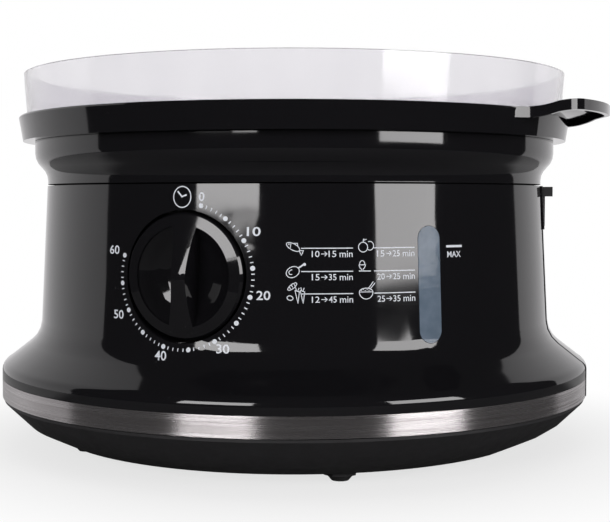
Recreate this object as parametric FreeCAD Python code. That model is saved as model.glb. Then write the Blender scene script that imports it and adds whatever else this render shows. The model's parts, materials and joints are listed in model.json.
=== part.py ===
import FreeCAD, Part
import math
import os
from FreeCAD import Vector

# Electric food steamer: base with timer, heater and water tank, drip tray, steam bowl and its grid.
# Millimetres. Z is up from the surface that the feet stand on, and the round body's axis is X = Y = 0.
# The front is -Y, and an azimuth is counted in degrees from the front towards +X.

# How far a cutting shape runs past the face that it cuts, and the usual gap round a loose fit.
CUT = 1.0
GAP = 0.1

# Driving sizes of the body.
WALL = 2.4
FLANGE_R = 130.0
CASING_LOW = 2.4
CASING_FLAT_R = 92.0
CASING_MID = (116.2, 8.8)
CASING_TOP = 21.8
SHELL_LOW = 22.1
BAND_TOP = 30.4
BAND_DEPTH = 0.8
SHOULDER = (130.0, 33.5)
SHOULDER_MID = (129.35, 35.8)
SLOPE_HIGH = (127.6, 37.4)
SLOPE_LOW = (117.95, 44.92)
NECK_MID = (114.42, 49.18)
WAIST_LOW = (112.97, 54.5)
WAIST_TOP = (110.0, 112.8)
INSIDE_NECK_Z = 48.0
INSIDE_SHOULDER_Z = 34.6
SEAM_AZIMUTH = 103.0
SEAM_GAP = 0.4
COVER_PROUD = 0.3

# Casing: its edge, vents and finger scoops.
CASING_INSET = 0.7
CASING_LIP_R = 126.8
CASING_LIP_WALL = 2.0
CASING_LIP_TOP = 24.6
VENT_HALF_W = 1.5
VENT_HALF_L = 16.0
VENT_PITCH = 8.0
VENT_ROWS = range(-3, 4)
GRIP_SCOOP_R = 110.0
GRIP_START = (80.0, 2.0)
GRIP_END = (129.0, 14.5)

# Water tank with the collar that shows above the body.
TANK_FLOOR = 50.0
TANK_R = 98.5
TANK_WALL = 2.5
COLLAR_LOW = 113.4
COLLAR_R = 109.8
COLLAR_LIP_R = 115.2
COLLAR_TOP = 132.0
COLLAR_INNER_R = 112.6

# Heater, in a hole of the tank's floor.
HEATER_HOLE_R = 45.0
PLATE_LOW = 52.1
PLATE_TOP = 53.7
PLATE_RIM_R = 51.5
PLATE_RIM_LOW = 47.2
PLATE_RIM_TOP = 48.8
CLAMP_R = 60.0
CLAMP_LOW = 45.6
CLAMP_SCREW_R = 56.0
CLAMP_AZIMUTHS = (45, 135, 225, 315)
ELEMENT_LOW = 44.6
THERMOSTAT_R = 9.0
THERMOSTAT_LOW = 46.4
FUSE_R = 2.0

# Timer and knob, on one axis that points out of the body.
DIAL_AZIMUTH = 6.0
DIAL_Z = 78.3
DIAL_HOLE_R = 24.9
DISH_FLOOR = 97.0
KNOB_R = 23.8
KNOB_BACK = 101.6
KNOB_EDGE = 109.8
KNOB_CREST = 115.8
SCOOP_R = 19.2
SCOOP_FLOOR = 103.9
RIB_HALF = 2.9
POINTER_TURN = 2.5
SHAFT_R = 3.0
SHAFT_BACK = 86.5
SHAFT_FRONT = 102.8
FLAT_FROM = 98.0
TIMER_FRONT = 94.5
TIMER_BACK = 77.5
TIMER_R = 24.0
TIMER_FLANGE_R = 25.6
TIMER_SCREW_X = 17.0
TIMER_TAB_HALF = 3.1
DISH_WALL = 2.0
SHAFT_WAY_R = 4.6
HUB_R = 6.2
POCKET_HALF = 30.5
POCKET_DEPTH = 68.0

# Water level window.
GAUGE_AZIMUTH = 55.0
GAUGE_Z = 75.0
GAUGE_W = 9.6
GAUGE_H = 44.0
GAUGE_SEAT = 101.0
GAUGE_GAP = 0.3
GAUGE_FLANGE_W = 16.5
GAUGE_FLANGE_H = 52.5
GAUGE_FLANGE = 1.6

# Water inlet in the rear cover.
INLET_AZIMUTH = 118.0
INLET_SPREAD = 14.4
INLET_LOW = 94.0
INLET_HALF = 21.0
DUCT_IN = (88.0, 87.1, 95.7)
DUCT_OUT = (109.5, 97.0, 106.8)
DUCT_WALL = 1.6
DUCT_GAP = 0.3

# Turbo ring.
TURBO_R = 55.0
TURBO_WALL = 2.0
TURBO_TOP = 84.0

# Drip tray, its ear handles, the steam bowl and the grid.
TRAY_FLOOR = 120.0
TRAY_SEAT = 132.1
TRAY_LEDGE = 135.0
TRAY_TOP = 142.7
TRAY_R = 121.9
TRAY_INNER_R = 119.3
CHIMNEY_R = 30.0
CHIMNEY_TOP = 133.0
TROUGH_WALL = 2.4
TROUGH_R = 106.5
TROUGH_SIDE = (111.0, 129.0)
EAR_TIP_X = 140.0
EAR_RISE = 3.3
EAR_SKIRT = 4.2
BOWL_LOW = 135.1
BOWL_TOP = 161.0
BOWL_FOOT_R = 117.8
BOWL_RIM_R = 119.6
BOWL_WALL = 2.2
BOWL_LEDGE_R = 102.5
BOWL_LEDGE_Z = 139.4
GRID_R = 104.5
GRID_THICK = 2.0
GRID_RINGS = ((8, 14, 34), (14, 39, 57), (20, 62, 78), (26, 83, 97))
SLOT_SHARE = 0.6
RIB_LONG = 101.0
RIB_THICK = 1.6
RIB_DEEP = 1.8

# Feet, posts and the cord gland.
FOOT_X = 60.0
FOOT_Y = 76.0
FOOT_R = 5.4
FOOT_STEM_R = 2.3
FOOT_SEAT = 8.6
POST_R = 84.0
POST_AZIMUTHS = (60.0, 120.0, 240.0, 300.0)
POST_TOP = 26.0
SCREW_SEAT = 8.0
GLAND_Z = 27.8
GLAND_BORE_R = 3.4
GLAND_NECK_R = 4.8
GLAND_LIP_R = 5.4
GLAND_FLANGE_R = 5.8
GLAND_SEAT_IN = 120.6
GLAND_SEAT_OUT = 124.6
GLAND_OUT = 127.0
GLAND_LENGTH = 12.0
LEAD_R = 1.2

UP = Vector(0, 0, 1)
ORIGIN = Vector(0, 0, 0)


# Outlines are lists of points, where a pair of points stands for an arc: its middle and its end.
def outline(points, lift):
    edges = []
    here = points[0]
    for step in points[1:] + [points[0]]:
        if isinstance(step[0], tuple):
            middle, end = step
            edges.append(Part.Arc(lift(*here), lift(*middle), lift(*end)).toShape())
        else:
            end = step
            if math.dist(here, end) > 1e-6:
                edges.append(Part.makeLine(lift(*here), lift(*end)))
        here = end
    return Part.Face(Part.Wire(edges))


# Arcs as short chords, so that a turned section has plain cones for faces.
def chords(points, turn=18.0):
    path = [points[0]]
    for step in points[1:]:
        if isinstance(step[0], tuple):
            middle, end = step
            arc = Part.Arc(Vector(*path[-1], 0), Vector(*middle, 0), Vector(*end, 0)).toShape()
            count = max(1, round(math.degrees(arc.Length / arc.Curve.Radius) / turn))
            path += [(p.x, p.y) for p in arc.discretize(Number=count + 1)[1:-1]]
            path.append(end)
        else:
            path.append(step)
    return path


# A section of radii and heights, turned round the body's axis from an azimuth.
def turned(points, start=0.0, sweep=360.0):
    face = outline(chords(points), lambda r, z: Vector(r, 0, z))
    solid = face.revolve(ORIGIN, UP, sweep)
    solid.rotate(ORIGIN, UP, start - 90.0)
    return solid


# The same section with flat sides all round, for small pieces and for pieces inside.
def sided(points, sides, start=0.0, sweep=360.0):
    turns = [math.radians(start - 90.0 + sweep * k / sides) for k in range(sides + 1)]
    rings = [[Vector(r * math.cos(t), r * math.sin(t), z) for r, z in points] for t in turns]
    if sweep == 360.0:
        rings[-1] = rings[0]
        faces = []
    else:
        faces = [Part.Face(Part.makePolygon(ring + ring[:1])) for ring in (rings[0], rings[-1])]
    for here, there in zip(rings, rings[1:]):
        for k in range(len(points)):
            loop = [here[k - 1], here[k], there[k], there[k - 1]]
            corners = [p for i, p in enumerate(loop) if (p - loop[i - 1]).Length > 1e-6]
            if len(corners) > 2:
                faces.append(Part.Face(Part.makePolygon(corners + corners[:1])))
    solid = Part.makeSolid(Part.makeShell(faces))
    if solid.Volume < 0:
        solid.reverse()
    return solid.removeSplitter()


# A flat outline, made into a slab between two levels.
def slab(points, low, high):
    face = outline(points, lambda x, y: Vector(x, y, low))
    return face.extrude(Vector(0, 0, high - low))


def box_points(half_x, half_y, x=0.0, y=0.0):
    return [(x - half_x, y - half_y), (x + half_x, y - half_y), (x + half_x, y + half_y), (x - half_x,
                                                                                           y + half_y)]


def obround(width, height, low, high):
    r = width / 2
    h = height / 2 - r
    points = [(r, -h), (r, h), ((0, h + r), (-r, h)), (-r, -h), ((0, -h - r), (r, -h))]
    return slab(points, low, high)


def rod(r, low, high, x=0.0, y=0.0):
    return Part.makeCylinder(r, high - low, Vector(x, y, low), UP)


def prism(r, low, high, x=0.0, y=0.0):
    turns = [k * math.pi / 4 for k in range(8)]
    return slab([(x + r * math.cos(t), y + r * math.sin(t)) for t in turns], low, high)


# A shape drawn flat, with x across, y up and z outwards, is stood on the body's wall.
def on_wall(shape, azimuth, height=0.0):
    placed = shape.copy()
    placed.rotate(ORIGIN, Vector(1, 0, 0), 90)
    placed.translate(Vector(0, 0, height))
    placed.rotate(ORIGIN, UP, azimuth)
    return placed


def on_dial(shape):
    return on_wall(shape, DIAL_AZIMUTH, DIAL_Z)


def at_azimuth(shape, azimuth):
    placed = shape.copy()
    placed.rotate(ORIGIN, UP, azimuth)
    return placed


def joined(shapes):
    return shapes[0].multiFuse(shapes[1:]).removeSplitter()


def group(shapes):
    return Part.makeCompound(shapes)


def shifted(point, dr):
    return (point[0] + dr, point[1])


# The body's outer curve: straight shoulder, rounded edge, slope, hollow neck and long waist.
def body_curve(proud):
    return [
        shifted(SHOULDER, proud),
        (shifted(SHOULDER_MID, proud), shifted(SLOPE_HIGH, proud)),
        shifted(SLOPE_LOW, proud),
        (shifted(NECK_MID, proud), shifted(WAIST_LOW, proud)),
        shifted(WAIST_TOP, proud),
    ]


def body_inside():
    flange_in = FLANGE_R - WALL - BAND_DEPTH / 2
    return [
        (WAIST_TOP[0] - WALL, WAIST_TOP[1]),
        (WAIST_LOW[0] - WALL, INSIDE_NECK_Z),
        (flange_in, INSIDE_SHOULDER_Z),
        (flange_in, SHELL_LOW),
    ]


def body_envelope(proud=0.0):
    return turned([(0, SHELL_LOW), (FLANGE_R + proud, SHELL_LOW)] + body_curve(proud) + [(0, WAIST_TOP[1])])


# The knob's dish is a round cup behind the opening, and its floor carries the timer.
def knob_dish(envelope):
    low = TIMER_FRONT - CUT
    high = DISH_FLOOR + CUT
    screw_way_r = 1.7
    cup = on_dial(rod(DIAL_HOLE_R + DISH_WALL, TIMER_FRONT + GAP, FLANGE_R)).common(envelope)
    room = on_dial(rod(DIAL_HOLE_R, DISH_FLOOR, FLANGE_R))
    shaft_way = on_dial(rod(SHAFT_WAY_R, low, high))
    screw_ways = [on_dial(rod(screw_way_r, low, high, x)) for x in (-TIMER_SCREW_X, TIMER_SCREW_X)]
    return cup, [room, shaft_way] + screw_ways


def make_front_shell():
    groove = FLANGE_R - BAND_DEPTH
    lower = [(groove, SHELL_LOW), (groove, BAND_TOP), (FLANGE_R, BAND_TOP)]
    sweep = 2 * SEAM_AZIMUTH - SEAM_GAP / 2
    shell = turned(lower + body_curve(0.0) + body_inside(), -sweep / 2, sweep)
    cup, ways = knob_dish(body_envelope())
    window = obround(GAUGE_W + GAUGE_GAP, GAUGE_H + GAUGE_GAP, GAUGE_SEAT, FLANGE_R)
    window = on_wall(window, GAUGE_AZIMUTH, GAUGE_Z)
    return shell.fuse(cup).cut(group(ways)).cut(window).removeSplitter()


def make_rear_cover():
    foot = [(FLANGE_R + COVER_PROUD, SHELL_LOW)]
    sweep = 360 - 2 * SEAM_AZIMUTH - SEAM_GAP / 2
    cover = turned(foot + body_curve(COVER_PROUD) + body_inside(), 180 - sweep / 2, sweep)
    wall_out = FLANGE_R - WALL + 0.4
    seat_wall = on_wall(slab(box_points(11, 6.5, 0, GLAND_Z + 0.8), GLAND_SEAT_IN, wall_out), 180)
    recess = on_wall(slab(box_points(9, 5.6, 0, GLAND_Z), GLAND_SEAT_OUT, FLANGE_R + 5), 180)
    gland_way = on_wall(rod(GLAND_NECK_R + GAP, GLAND_SEAT_IN - 5, FLANGE_R, 0, GLAND_Z), 180)
    inlet_room = inlet_sector(WAIST_TOP[0] - WALL - 2, WAIST_TOP[0] + 10, 0.25)
    return cover.fuse(seat_wall).cut(group([recess, gland_way, inlet_room])).removeSplitter()


def make_trim_band():
    sweep = 2 * SEAM_AZIMUTH - SEAM_GAP / 2
    inner = FLANGE_R - BAND_DEPTH + GAP / 2
    low = SHELL_LOW + GAP
    high = BAND_TOP - GAP
    return turned([(inner, low), (FLANGE_R, low), (FLANGE_R, high), (inner, high)], -sweep / 2, sweep)


# The casing is a thin dish. A tilted scoop in each side makes a grip for the fingers.
def finger_scoops(extra):
    slope = (GRIP_END[1] - GRIP_START[1]) / (GRIP_END[0] - GRIP_START[0])
    length = 90.0
    run_in = 10.0
    scoops = []
    for side in (0, 180):
        scoop = Part.makeCylinder(GRIP_SCOOP_R + extra, length, Vector(0, 0, -GRIP_SCOOP_R), Vector(1, 0, 0))
        scoop.rotate(ORIGIN, Vector(0, 1, 0), -math.degrees(math.atan(slope)))
        scoop.translate(Vector(GRIP_START[0] - run_in, 0, GRIP_START[1] - run_in * slope))
        scoop.rotate(ORIGIN, UP, side)
        scoops.append(scoop)
    return group(scoops)


def make_lower_casing():
    edge_r = FLANGE_R - CASING_INSET
    edge_low = CASING_TOP - 1.1
    lip_in = CASING_LIP_R - CASING_LIP_WALL
    curve = [(CASING_FLAT_R, CASING_LOW), (CASING_MID, (edge_r, edge_low)), (edge_r, CASING_TOP)]
    lip = [(CASING_LIP_R, CASING_TOP), (CASING_LIP_R, CASING_LIP_TOP)]
    outer = turned([(0, CASING_LOW)] + curve + lip + [(0, CASING_LIP_TOP)])
    floor = CASING_LOW + WALL
    above = POST_TOP + CUT
    hollow = turned([(0, floor), (CASING_FLAT_R - 1, floor), (CASING_MID[0] - 1.6, CASING_MID[1] + WALL),
                     (lip_in, CASING_TOP - 0.2), (lip_in, above), (0, above)])
    post_r = 5.6
    post_hole_r = 2.0
    head_well_r = 3.8
    foot_boss_r = 6.6
    foot_hole_r = 2.6
    casing = outer.cut(finger_scoops(0.0)).cut(hollow.cut(finger_scoops(WALL)))
    solids = [casing]
    holes = []
    for azimuth in POST_AZIMUTHS:
        solids.append(at_azimuth(prism(post_r, CASING_LOW + CUT, POST_TOP, 0, -POST_R), azimuth))
        holes.append(at_azimuth(prism(post_hole_r, 0, above, 0, -POST_R), azimuth))
        holes.append(at_azimuth(prism(head_well_r, 0, SCREW_SEAT, 0, -POST_R), azimuth))
    for x, y in foot_places():
        solids.append(prism(foot_boss_r, CASING_LOW - GAP, FOOT_SEAT, x, y))
        holes.append(prism(foot_hole_r, 0, FOOT_SEAT + CUT, x, y))
    for row in VENT_ROWS:
        holes.append(slab(box_points(VENT_HALF_W, VENT_HALF_L, VENT_PITCH * row, 0), 0, floor + CUT))
    holes.append(slab(box_points(12, 7, 0, 124), CASING_TOP, above))
    return joined(solids).cut(group(holes)).removeSplitter()


def foot_places():
    return [(x, y) for x in (-FOOT_X, FOOT_X) for y in (-FOOT_Y, FOOT_Y)]


def make_foot(x, y):
    top = CASING_LOW - GAP
    barb = FOOT_SEAT + GAP
    tip = barb + 2.5
    foot = sided([(0, 0), (FOOT_R - 2, 0), (FOOT_R, top), (FOOT_STEM_R, top), (FOOT_STEM_R, barb),
                  (FOOT_STEM_R + 1, barb + 0.2), (FOOT_STEM_R - 0.7, tip), (0, tip)], 16)
    foot.translate(Vector(x, y, 0))
    return foot


def screw(head_r, head_low, head_high, shank_r, tip, x=0.0, y=0.0):
    head = prism(head_r, head_low, head_high, x, y)
    shank = prism(shank_r, min(tip, head_low), max(tip, head_high), x, y)
    return head.fuse(shank).removeSplitter()


def make_base_screws():
    head_low = SCREW_SEAT - 2.2
    tip = POST_TOP + 12
    return group([at_azimuth(screw(3.4, head_low, SCREW_SEAT, 1.8, tip, 0, -POST_R), a)
                  for a in POST_AZIMUTHS])


# The tank is a deep bowl with a flared collar. Its wall steps inwards round the timer.
def collar_curve():
    return [
        (COLLAR_R, COLLAR_LOW),
        (COLLAR_R, 115.2),
        ((110.4, 118.0), (112.3, 120.7)),
        ((114.4, 123.4), (COLLAR_LIP_R, 126.8)),
        (COLLAR_LIP_R, COLLAR_TOP),
    ]


def timer_pocket(extra, top):
    half = POCKET_HALF + extra
    depth = POCKET_DEPTH - extra
    corner = 8.0
    nip = corner * (1 - math.sqrt(0.5))
    front = FLANGE_R + 5
    points = [(-half, -front), (half, -front), (half, -depth - corner),
              ((half - nip, -depth - nip), (half - corner, -depth)), (corner - half, -depth),
              ((nip - half, -depth - nip), (-half, -depth - corner))]
    return at_azimuth(slab(points, TANK_FLOOR - 10, top), DIAL_AZIMUTH)


def inlet_duct(grow):
    near, near_low, near_high = DUCT_IN
    far, far_low, far_high = DUCT_OUT
    points = [(near, near_low - grow), (far, far_low - grow), (far, far_high + grow), (near,
                                                                                       near_high + grow)]
    face = outline(points, lambda d, z: Vector(-INLET_HALF - grow, -d, z))
    duct = face.extrude(Vector(2 * (INLET_HALF + grow), 0, 0))
    return at_azimuth(duct, INLET_AZIMUTH)


def inlet_sector(inner, outer, gap):
    spread = INLET_SPREAD + math.degrees(gap / WAIST_TOP[0])
    low = INLET_LOW - gap
    high = WAIST_TOP[1] + gap
    return turned([(inner, low), (outer, low), (outer, high), (inner, high)], INLET_AZIMUTH - spread,
                  2 * spread)


def make_water_tank():
    inner_r = TANK_R - TANK_WALL
    neck_r = 107.0
    flare_low = 103.0
    flare_high = 110.2
    floor = TANK_FLOOR + TANK_WALL
    above = COLLAR_TOP + CUT
    outer = turned([(0, TANK_FLOOR), (TANK_R, TANK_FLOOR), (TANK_R, flare_low), (neck_r, flare_high),
                    (neck_r, COLLAR_LOW)] + collar_curve() + [(0, COLLAR_TOP)])
    inner = turned([(0, floor), (inner_r - 4, floor), (inner_r, floor + 4), (inner_r, flare_low + 1),
                    (neck_r - 0.2, COLLAR_LOW + 0.2), (COLLAR_INNER_R, 127.5), (COLLAR_INNER_R, above),
                    (0, above)])
    shell = outer.cut(timer_pocket(0.0, 108.5)).fuse(gauge_seat())
    tank = shell.cut(inner.cut(timer_pocket(TANK_WALL, 108.5 + TANK_WALL))).multiFuse(tank_bosses())
    heater_way = rod(HEATER_HOLE_R, TANK_FLOOR - CUT, floor + CUT)
    level_way = on_wall(obround(6.0, 41.0, GAUGE_SEAT - 11, GAUGE_SEAT + 9), GAUGE_AZIMUTH, GAUGE_Z)
    duct_way = inlet_duct(DUCT_WALL + DUCT_GAP)
    return tank.cut(group(tank_pilots() + [heater_way, level_way, duct_way])).removeSplitter()


def gauge_seat():
    edge = 1.5
    seat = obround(GAUGE_FLANGE_W + edge, GAUGE_FLANGE_H + edge, GAUGE_SEAT - 11, GAUGE_SEAT)
    return on_wall(seat, GAUGE_AZIMUTH, GAUGE_Z)


def tank_bosses():
    post_r = 4.2
    clamp_r = 3.5
    high = TANK_FLOOR + CUT
    bosses = [at_azimuth(prism(post_r, POST_TOP + 0.2, high, 0, -POST_R), a) for a in POST_AZIMUTHS]
    return bosses + [prism(clamp_r, PLATE_RIM_LOW, high, x, y) for x, y in clamp_places()]


def tank_pilots():
    post_r = 1.85
    clamp_r = 1.55
    pilots = [at_azimuth(prism(post_r, POST_TOP, TANK_FLOOR - 10, 0, -POST_R), a) for a in POST_AZIMUTHS]
    return pilots + [prism(clamp_r, PLATE_RIM_LOW - CUT, TANK_FLOOR + 1.2, x, y) for x, y in clamp_places()]


def make_water_inlet():
    sleeve_in = 94.6
    lug_out = 112.6
    mouth_half = (DUCT_OUT[2] - DUCT_OUT[1]) / 2
    mouth_z = DUCT_OUT[1] + mouth_half
    face = inlet_sector(107.5, WAIST_TOP[0] + 8, 0.0).common(body_envelope(0.8))
    sleeve = inlet_duct(DUCT_WALL).cut(turned([(0, 80), (sleeve_in, 80), (sleeve_in, 115), (0, 115)]))
    lug = on_wall(slab(box_points(2.2, 2.1, -21.5, 110.4), 107, lug_out), INLET_AZIMUTH)
    mouth = inlet_duct(0.0)
    funnel = slab(box_points(INLET_HALF, mouth_half, 0, mouth_z), DUCT_OUT[0] - 0.5, WAIST_TOP[0] + 10)
    funnel = on_wall(funnel, INLET_AZIMUTH)
    return joined([face, sleeve, lug]).cut(mouth).cut(funnel).removeSplitter()


# Level window: a clear box that a flange and a gasket hold against the tank.
def make_gauge_gasket():
    high = GAUGE_SEAT + GAUGE_FLANGE
    ring = obround(GAUGE_FLANGE_W, GAUGE_FLANGE_H, GAUGE_SEAT, high)
    return on_wall(ring.cut(obround(6.8, 41.8, GAUGE_SEAT - CUT, high + CUT)), GAUGE_AZIMUTH, GAUGE_Z)


def make_gauge_window():
    wall = 1.4
    front_in = 109.4
    back = GAUGE_SEAT + GAUGE_FLANGE
    flange = obround(GAUGE_FLANGE_W, GAUGE_FLANGE_H, back, back + GAUGE_FLANGE)
    tube = obround(GAUGE_W, GAUGE_H, back, FLANGE_R)
    room = obround(GAUGE_W - 2 * wall, GAUGE_H - 2 * wall, back - CUT, front_in)
    window = on_wall(joined([flange, tube]).cut(room), GAUGE_AZIMUTH, GAUGE_Z)
    return window.common(body_envelope(GAP))


# Heater: pressed plate in the tank's floor, with its seal, element, clamp and cut-outs below.
def clamp_places():
    turns = [math.radians(a) for a in CLAMP_AZIMUTHS]
    return [(CLAMP_SCREW_R * math.cos(t), CLAMP_SCREW_R * math.sin(t)) for t in turns]


def make_heater_plate():
    dish_r = 41.8
    return sided([(0, PLATE_LOW), (dish_r, PLATE_LOW), (dish_r + 1.1, PLATE_RIM_LOW), (PLATE_RIM_R,
                                                                                       PLATE_RIM_LOW),
                  (PLATE_RIM_R, PLATE_RIM_TOP), (dish_r + 2.6, PLATE_RIM_TOP), (dish_r + 1.6,
                                                                                PLATE_TOP - 1.3),
                  (dish_r + 0.2, PLATE_TOP), (0, PLATE_TOP)], 60)


def make_heater_seal():
    inner = HEATER_HOLE_R - 0.4
    return sided([(inner, PLATE_RIM_TOP), (PLATE_RIM_R, PLATE_RIM_TOP), (PLATE_RIM_R, TANK_FLOOR),
                  (inner, TANK_FLOOR)], 60)


def make_heater_element():
    pin_r = 31.0
    pin_low = 34.0
    turns = [math.radians(a) for a in (24, -24)]
    section = [(27, ELEMENT_LOW), (36, ELEMENT_LOW), (37.5, PLATE_LOW), (25.5, PLATE_LOW)]
    bar = sided(section, 40, 20, 320)
    pins = [prism(1.6, pin_low, pin_low + 12, pin_r * math.sin(t), -pin_r * math.cos(t)) for t in turns]
    return joined([bar] + pins)


def make_heater_clamp():
    inner = HEATER_HOLE_R + 1.0
    hole_r = 1.7
    ring = sided([(inner, CLAMP_LOW), (CLAMP_R, CLAMP_LOW), (CLAMP_R, PLATE_RIM_LOW), (inner,
                                                                                       PLATE_RIM_LOW)], 60)
    return ring.cut(group([prism(hole_r, CLAMP_LOW - CUT, PLATE_RIM_LOW + CUT, x, y)
                           for x, y in clamp_places()]))


def make_clamp_screws():
    head_low = CLAMP_LOW - 1.8
    tip = TANK_FLOOR + CUT
    return group([screw(2.9, head_low, CLAMP_LOW, 1.5, tip, x, y) for x, y in clamp_places()])


def make_thermostat():
    low = THERMOSTAT_LOW
    tab_low = low - 7.9
    body = sided([(0, low), (THERMOSTAT_R, low), (THERMOSTAT_R, PLATE_LOW), (0, PLATE_LOW)], 24)
    tabs = [slab(box_points(0.4, 3.1, x, 0), tab_low, low + 0.2) for x in (-5, 5)]
    return joined([body] + tabs)


def make_thermal_fuse():
    half = 6.0
    wire_half = 13.0
    from_middle = 16.5
    fuse = joined([prism(FUSE_R, -half, half), prism(0.6, -wire_half, wire_half)])
    fuse.rotate(ORIGIN, UP, 22.5)
    fuse.rotate(ORIGIN, Vector(0, 1, 0), 90)
    fuse.translate(Vector(0, from_middle, PLATE_LOW - FUSE_R * math.cos(math.pi / 8)))
    return fuse


# Timer on the dish's floor, with its bell, tabs, screws and shaft.
def make_timer_case():
    step = TIMER_FRONT - 2
    bush_r = SHAFT_WAY_R - 0.4
    bush_top = DISH_FLOOR + 0.6
    pilot_r = 1.5
    pilot_low = 88.0
    case = sided([(0, TIMER_BACK), (TIMER_R, TIMER_BACK), (TIMER_R, step), (TIMER_FLANGE_R, step),
                  (TIMER_FLANGE_R, TIMER_FRONT), (bush_r, TIMER_FRONT), (bush_r, bush_top), (0,
                                                                                             bush_top)], 32)
    case = case.cut(rod(SHAFT_R + 0.05, SHAFT_BACK - 0.5, bush_top + CUT))
    pilots = [prism(pilot_r, pilot_low, TIMER_FRONT + CUT, x) for x in (-TIMER_SCREW_X, TIMER_SCREW_X)]
    return on_dial(case.cut(group(pilots)))


def make_timer_bell():
    bell = sided([(0, 71.0), (8, 71.3), (15.4, 74.4), (16.2, 77.3), (15.0, 77.3), (14.4, 75.2), (7.6, 72.4),
                  (2.0, 72.3), (2.0, TIMER_BACK), (0, TIMER_BACK)], 24)
    return on_dial(bell)


def make_timer_tabs():
    half_long = 4.0
    low = 83.6
    tabs = []
    for x in (-13, 0, 13):
        near = math.sqrt(TIMER_R ** 2 - max(0.0, abs(x) - TIMER_TAB_HALF) ** 2)
        tabs.append(slab(box_points(TIMER_TAB_HALF, half_long, x, -near - half_long), low, low + 0.8))
    return on_dial(group(tabs))


def make_timer_screws():
    high = DISH_FLOOR + 2
    tip = 89.0
    return on_dial(group([screw(3.0, DISH_FLOOR, high, 1.45, tip, x) for x in (-TIMER_SCREW_X,
                                                                               TIMER_SCREW_X)]))


def shaft_shape(r, low, high):
    flat = slab(box_points(r, r, 0, r + r / 2), FLAT_FROM, high + CUT)
    return rod(r, low, high).cut(flat)


def make_timer_shaft():
    shaft = shaft_shape(SHAFT_R, SHAFT_BACK, SHAFT_FRONT)
    shaft.rotate(ORIGIN, UP, -POINTER_TURN)
    return on_dial(shaft)


# The knob is a shallow dome with a round scoop in it. A waisted rib stays across the scoop.
def knob_rib():
    end = 22.0
    half_end = 2 * RIB_HALF
    points = [(half_end, -end), ((RIB_HALF, 0), (half_end, end)), (-half_end, end),
              ((-RIB_HALF, 0), (-half_end, -end))]
    return slab(points, KNOB_BACK, KNOB_CREST + 4 * CUT)


def knob_scoop():
    above = KNOB_CREST + 4 * CUT
    return turned([(0, SCOOP_FLOOR), (3.0, SCOOP_FLOOR), ((13.0, 105.9), (SCOOP_R, 110.4)), (SCOOP_R, above),
                   (0, above)])


def make_knob():
    hub_low = FLAT_FROM + 0.2
    body = turned([(0, hub_low), (HUB_R, hub_low), (HUB_R, KNOB_BACK), (KNOB_R, KNOB_BACK), (KNOB_R,
                                                                                             KNOB_EDGE),
                   (KNOB_R - 0.7, KNOB_EDGE + 1.0), ((14.0, 113.9), (1.5, KNOB_CREST)), (0, KNOB_CREST)])
    knob = body.cut(knob_scoop().cut(knob_rib()))
    knob = knob.cut(shaft_shape(SHAFT_R + 0.02, 97, 103))
    knob = knob.cut(prism(0.8, 112.0, KNOB_CREST, 0, SCOOP_R - 0.3))
    knob.rotate(ORIGIN, UP, -POINTER_TURN)
    return on_dial(knob)


def make_knob_clip():
    inner = HUB_R + 0.15
    outer = inner + 0.6
    low = FLAT_FROM + 0.6
    high = KNOB_BACK - 0.4
    return on_dial(sided([(inner, low), (outer, low), (outer, high), (inner, high)], 20, 30, 300))


def make_terminal_block():
    low = CASING_LOW + WALL
    high = 18.0
    pitch = 10.0
    block = slab(box_points(17, 8, 0, 72), low, high)
    wells = [prism(2.6, high - 6, high + CUT, x, 75) for x in (-pitch, 0, pitch)]
    return block.cut(group(wells))


# Inner leads: six-sided strands along straight runs joined by an arc.
def lead(start, corner, end, bend):
    start, corner, end = Vector(*start), Vector(*corner), Vector(*end)
    first = (start - corner).normalize()
    last = (end - corner).normalize()
    half = math.radians(math.degrees(first.getAngle(last)) / 2)
    reach = bend / math.tan(half)
    centre = corner + (first + last).normalize() * (bend / math.sin(half))
    middle = centre + (corner - centre).normalize() * bend
    leave = corner + first * reach
    arrive = corner + last * reach
    spine = Part.Wire([Part.makeLine(start, leave), Part.Arc(leave, middle, arrive).toShape(),
                       Part.makeLine(arrive, end)])
    side = first.cross(Vector(0, 0, 1))
    side = (side if side.Length > 0.1 else Vector(1, 0, 0)).normalize()
    up = side.cross(first)
    turns = [k * math.pi / 3 for k in range(7)]
    ring = [start + (side * math.cos(t) + up * math.sin(t)) * LEAD_R for t in turns]
    return spine.makePipeShell([Part.makePolygon(ring)], True, False)


def make_leads():
    return group([
        lead((-10, 63.9, 10), (-10, 50, 10), (-11.5, -10, 33.0), 8),
        lead((0, 63.9, 10), (0, 40, 10), (4.5, 4.5, 37.5), 8),
        lead((10, 63.9, 10), (12, 20, 9), (9.5, -78, 40.0), 12),
    ])


def make_cord_gland():
    back = GLAND_OUT - GLAND_LENGTH
    outer = sided([(0, back), (GLAND_BORE_R + 1, back), (GLAND_FLANGE_R, GLAND_SEAT_IN - 2),
                   (GLAND_FLANGE_R, GLAND_SEAT_IN), (GLAND_NECK_R, GLAND_SEAT_IN), (GLAND_NECK_R,
                                                                                    GLAND_SEAT_OUT),
                   (GLAND_LIP_R, GLAND_SEAT_OUT), (GLAND_LIP_R, GLAND_OUT - 0.8), (GLAND_LIP_R - 0.8,
                                                                                   GLAND_OUT),
                   (0, GLAND_OUT)], 24)
    return on_wall(outer.cut(rod(GLAND_BORE_R, back - CUT, GLAND_OUT + CUT)), 180, GLAND_Z)


def make_turbo_ring():
    low = TANK_FLOOR + TANK_WALL + GAP
    top_r = TURBO_R - 1
    ring = sided([(TURBO_R - TURBO_WALL, low), (TURBO_R, low), (top_r, TURBO_TOP), (top_r - 1.8,
                                                                                    TURBO_TOP)], 72)
    notch = slab(box_points(7, 6, 0, CUT - TURBO_R), low - CUT, low + 5)
    notches = [at_azimuth(notch, a) for a in (0, 90, 180, 270)]
    return ring.cut(group(notches))


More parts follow.
